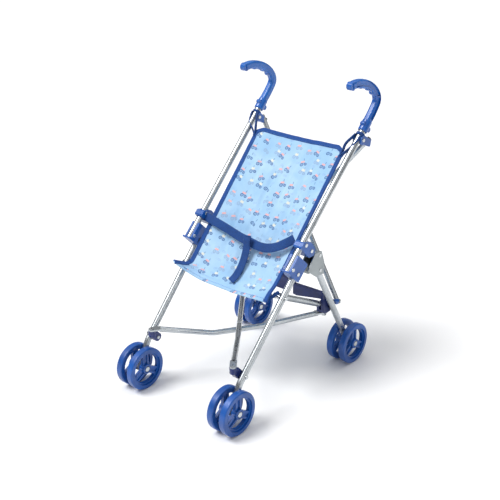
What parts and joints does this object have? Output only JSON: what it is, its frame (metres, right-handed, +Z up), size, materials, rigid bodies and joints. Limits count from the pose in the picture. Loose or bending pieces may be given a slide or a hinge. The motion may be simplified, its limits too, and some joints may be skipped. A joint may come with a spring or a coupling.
{
  "type": "doll stroller",
  "caption": "Umbrella-fold doll stroller: tube side frames with hooked handles, crossed rear and base tubes, fabric sling seat and twin wheels.",
  "frame": {"origin": "middle of the overall box at floor level", "axes": "+Z up, -Y the way the doll faces, +X the stroller's right as seen from the front"},
  "size_m": [0.2818, 0.4344, 0.555],
  "materials": {
    "tube": "satin",
    "bracket": "satin",
    "rivet": "polished",
    "wheel": "satin",
    "grip": "satin",
    "clamp": "satin",
    "connector": "satin",
    "sling": "woven",
    "webbing": "woven"
  },
  "bodies": {
    "seat": {"seat_sling": "sling", "lap_belt": "webbing", "crotch_strap": "webbing"},
    "side_frame_right": {"handle_tube_right": "tube", "front_leg_right": "tube", "handle_grip_right": "grip", "lower_clamp_right": "clamp", "upper_clamp_right": "clamp", "frame_rivets_right": "rivet", "front_axle_right": "rivet"},
    "rear_leg_assembly_right": {"rear_leg_right": "tube", "leg_bracket_right": "bracket", "bracket_rivets_right": "rivet", "rear_axle_right": "rivet"},
    "top_pivot_assembly_right": {"top_pivot_right": "clamp", "cross_pin_right": "rivet"},
    "rear_cross_right": {"rear_cross_tube_right": "tube", "rear_cross_rivets_right": "rivet", "cross_pad_left": "clamp"},
    "front_connector_assembly_right": {"front_connector_right": "connector", "front_connector_eyelet_right": "rivet"},
    "base_cross_right": {"base_cross_tube_right": "tube", "base_cross_rivet": "rivet"},
    "strut_right": {"side_strut_right": "tube"},
    "rear_connector_assembly_right": {"rear_connector_right": "connector", "rear_connector_pins_right": "rivet"},
    "lock_bar_half_right": {"lock_bar_right": "connector"},
    "front_outer_wheel_right_body": {"front_outer_wheel_right": "wheel"},
    "front_inner_wheel_right_body": {"front_inner_wheel_right": "wheel"},
    "rear_outer_wheel_right_body": {"rear_outer_wheel_right": "wheel"},
    "rear_inner_wheel_right_body": {"rear_inner_wheel_right": "wheel"},
    "side_frame_left": {"handle_tube_left": "tube", "front_leg_left": "tube", "handle_grip_left": "grip", "lower_clamp_left": "clamp", "upper_clamp_left": "clamp", "frame_rivets_left": "rivet", "front_axle_left": "rivet"},
    "rear_leg_assembly_left": {"rear_leg_left": "tube", "leg_bracket_left": "bracket", "bracket_rivets_left": "rivet", "rear_axle_left": "rivet"},
    "top_pivot_assembly_left": {"top_pivot_left": "clamp", "cross_pin_left": "rivet"},
    "rear_cross_left": {"rear_cross_tube_left": "tube", "rear_cross_rivets_left": "rivet", "cross_pad_right": "clamp"},
    "front_connector_assembly_left": {"front_connector_left": "connector", "front_connector_eyelet_left": "rivet"},
    "base_cross_left": {"base_cross_tube_left": "tube"},
    "strut_left": {"side_strut_left": "tube"},
    "rear_connector_assembly_left": {"rear_connector_left": "connector", "rear_connector_pins_left": "rivet"},
    "lock_bar_half_left": {"lock_bar_left": "connector"},
    "front_outer_wheel_left_body": {"front_outer_wheel_left": "wheel"},
    "front_inner_wheel_left_body": {"front_inner_wheel_left": "wheel"},
    "rear_outer_wheel_left_body": {"rear_outer_wheel_left": "wheel"},
    "rear_inner_wheel_left_body": {"rear_inner_wheel_left": "wheel"}
  },
  "joints": [
    {"name": "fold_left", "type": "slide", "parent": "seat", "child": "side_frame_left", "axis": [1, 0, 0], "range_m": [0, 0.048], "deforming": ["seat_sling", "lap_belt", "crotch_strap"]},
    {"name": "fold_right", "type": "slide", "parent": "seat", "child": "side_frame_right", "axis": [-1, 0, 0], "range_m": [0, 0.048], "deforming": ["seat_sling", "lap_belt", "crotch_strap"]},
    {"name": "rear_leg_fold_right", "type": "hinge", "parent": "side_frame_right", "child": "rear_leg_assembly_right", "pos_m": [0.118, -0.01716, 0.241], "axis": [-1, 0, 0], "range_deg": [0, 4]},
    {"name": "top_pivot_fold_right", "type": "hinge", "parent": "side_frame_right", "child": "top_pivot_assembly_right", "pos_m": [0.122, 0.15984, 0.4435], "axis": [1, 0, 0], "range_deg": [0, 4.87]},
    {"name": "rear_cross_fold_right", "type": "hinge", "parent": "top_pivot_assembly_right", "child": "rear_cross_right", "pos_m": [0.118, 0.18385, 0.433], "axis": [0, -0.9782, 0.2075], "range_deg": [0, 16.51]},
    {"name": "front_connector_fold_right", "type": "hinge", "parent": "side_frame_right", "child": "front_connector_assembly_right", "pos_m": [0.1, -0.14605, 0.093], "axis": [1, 0, 0], "range_deg": [0, 23.62]},
    {"name": "base_cross_fold_right", "type": "hinge", "parent": "front_connector_assembly_right", "child": "base_cross_right", "pos_m": [0.1, -0.15665, 0.1109], "axis": [0, 0.079, -0.9969], "range_deg": [0, 19.43]},
    {"name": "strut_fold_right", "type": "hinge", "parent": "side_frame_right", "child": "strut_right", "pos_m": [0.1, -0.04585, 0.2032], "axis": [1, 0, 0], "range_deg": [0, 43.75]},
    {"name": "rear_connector_fold_right", "type": "hinge", "parent": "strut_right", "child": "rear_connector_assembly_right", "pos_m": [0.1, 0.09685, 0.131], "axis": [-1, 0, 0], "range_deg": [0, 20.12]},
    {"name": "lock_bar_fold_right", "type": "hinge", "parent": "rear_connector_assembly_right", "child": "lock_bar_half_right", "pos_m": [0.106, 0.08884, 0.152], "axis": [0, 0, 1], "range_deg": [0, 56.83]},
    {"name": "front_outer_wheel_spin_right", "type": "hinge", "parent": "side_frame_right", "child": "front_outer_wheel_right_body", "pos_m": [0.12725, -0.17716, 0.04], "axis": [1, 0, 0], "continuous": true},
    {"name": "front_inner_wheel_spin_right", "type": "hinge", "parent": "side_frame_right", "child": "front_inner_wheel_right_body", "pos_m": [0.09975, -0.17716, 0.04], "axis": [1, 0, 0], "continuous": true},
    {"name": "rear_outer_wheel_spin_right", "type": "hinge", "parent": "rear_leg_assembly_right", "child": "rear_outer_wheel_right_body", "pos_m": [0.13345, 0.15044, 0.04], "axis": [1, 0, 0], "continuous": true},
    {"name": "rear_inner_wheel_spin_right", "type": "hinge", "parent": "rear_leg_assembly_right", "child": "rear_inner_wheel_right_body", "pos_m": [0.10595, 0.15044, 0.04], "axis": [1, 0, 0], "continuous": true},
    {"name": "rear_leg_fold_left", "type": "hinge", "parent": "side_frame_left", "child": "rear_leg_assembly_left", "pos_m": [-0.118, -0.01716, 0.241], "axis": [-1, 0, 0], "range_deg": [0, 4]},
    {"name": "top_pivot_fold_left", "type": "hinge", "parent": "side_frame_left", "child": "top_pivot_assembly_left", "pos_m": [-0.122, 0.15984, 0.4435], "axis": [1, 0, 0], "range_deg": [0, 4.87]},
    {"name": "rear_cross_fold_left", "type": "hinge", "parent": "top_pivot_assembly_left", "child": "rear_cross_left", "pos_m": [-0.118, 0.18385, 0.433], "axis": [0, 0.9782, -0.2075], "range_deg": [0, 16.51]},
    {"name": "front_connector_fold_left", "type": "hinge", "parent": "side_frame_left", "child": "front_connector_assembly_left", "pos_m": [-0.1, -0.14605, 0.093], "axis": [1, 0, 0], "range_deg": [0, 23.62]},
    {"name": "base_cross_fold_left", "type": "hinge", "parent": "front_connector_assembly_left", "child": "base_cross_left", "pos_m": [-0.1, -0.15665, 0.1109], "axis": [0, -0.079, 0.9969], "range_deg": [0, 19.43]},
    {"name": "strut_fold_left", "type": "hinge", "parent": "side_frame_left", "child": "strut_left", "pos_m": [-0.1, -0.04585, 0.2032], "axis": [1, 0, 0], "range_deg": [0, 43.75]},
    {"name": "rear_connector_fold_left", "type": "hinge", "parent": "strut_left", "child": "rear_connector_assembly_left", "pos_m": [-0.1, 0.09685, 0.131], "axis": [-1, 0, 0], "range_deg": [0, 20.12]},
    {"name": "lock_bar_fold_left", "type": "hinge", "parent": "rear_connector_assembly_left", "child": "lock_bar_half_left", "pos_m": [-0.106, 0.08884, 0.152], "axis": [0, 0, -1], "range_deg": [0, 56.83]},
    {"name": "front_outer_wheel_spin_left", "type": "hinge", "parent": "side_frame_left", "child": "front_outer_wheel_left_body", "pos_m": [-0.12725, -0.17716, 0.04], "axis": [1, 0, 0], "continuous": true},
    {"name": "front_inner_wheel_spin_left", "type": "hinge", "parent": "side_frame_left", "child": "front_inner_wheel_left_body", "pos_m": [-0.09975, -0.17716, 0.04], "axis": [1, 0, 0], "continuous": true},
    {"name": "rear_outer_wheel_spin_left", "type": "hinge", "parent": "rear_leg_assembly_left", "child": "rear_outer_wheel_left_body", "pos_m": [-0.13345, 0.15044, 0.04], "axis": [1, 0, 0], "continuous": true},
    {"name": "rear_inner_wheel_spin_left", "type": "hinge", "parent": "rear_leg_assembly_left", "child": "rear_inner_wheel_left_body", "pos_m": [-0.10595, 0.15044, 0.04], "axis": [1, 0, 0], "continuous": true}
  ],
  "couplings": [
    {"joint": "fold_right", "follows": "fold_left", "ratio": 1},
    {"joint": "rear_leg_fold_right", "follows": "fold_left", "rad_per_m": 1.4544},
    {"joint": "top_pivot_fold_right", "follows": "fold_left", "rad_per_m": 1.7695},
    {"joint": "rear_cross_fold_right", "follows": "fold_left", "rad_per_m": 6.0025},
    {"joint": "front_connector_fold_right", "follows": "fold_left", "rad_per_m": 8.5896},
    {"joint": "base_cross_fold_right", "follows": "fold_left", "rad_per_m": 7.066},
    {"joint": "strut_fold_right", "follows": "fold_left", "rad_per_m": 15.907},
    {"joint": "rear_connector_fold_right", "follows": "fold_left", "rad_per_m": 7.3169},
    {"joint": "lock_bar_fold_right", "follows": "fold_left", "rad_per_m": 20.664},
    {"joint": "rear_leg_fold_left", "follows": "fold_left", "rad_per_m": 1.4544},
    {"joint": "top_pivot_fold_left", "follows": "fold_left", "rad_per_m": 1.7695},
    {"joint": "rear_cross_fold_left", "follows": "fold_left", "rad_per_m": 6.0025},
    {"joint": "front_connector_fold_left", "follows": "fold_left", "rad_per_m": 8.5896},
    {"joint": "base_cross_fold_left", "follows": "fold_left", "rad_per_m": 7.066},
    {"joint": "strut_fold_left", "follows": "fold_left", "rad_per_m": 15.907},
    {"joint": "rear_connector_fold_left", "follows": "fold_left", "rad_per_m": 7.3169},
    {"joint": "lock_bar_fold_left", "follows": "fold_left", "rad_per_m": 20.664}
  ]
}
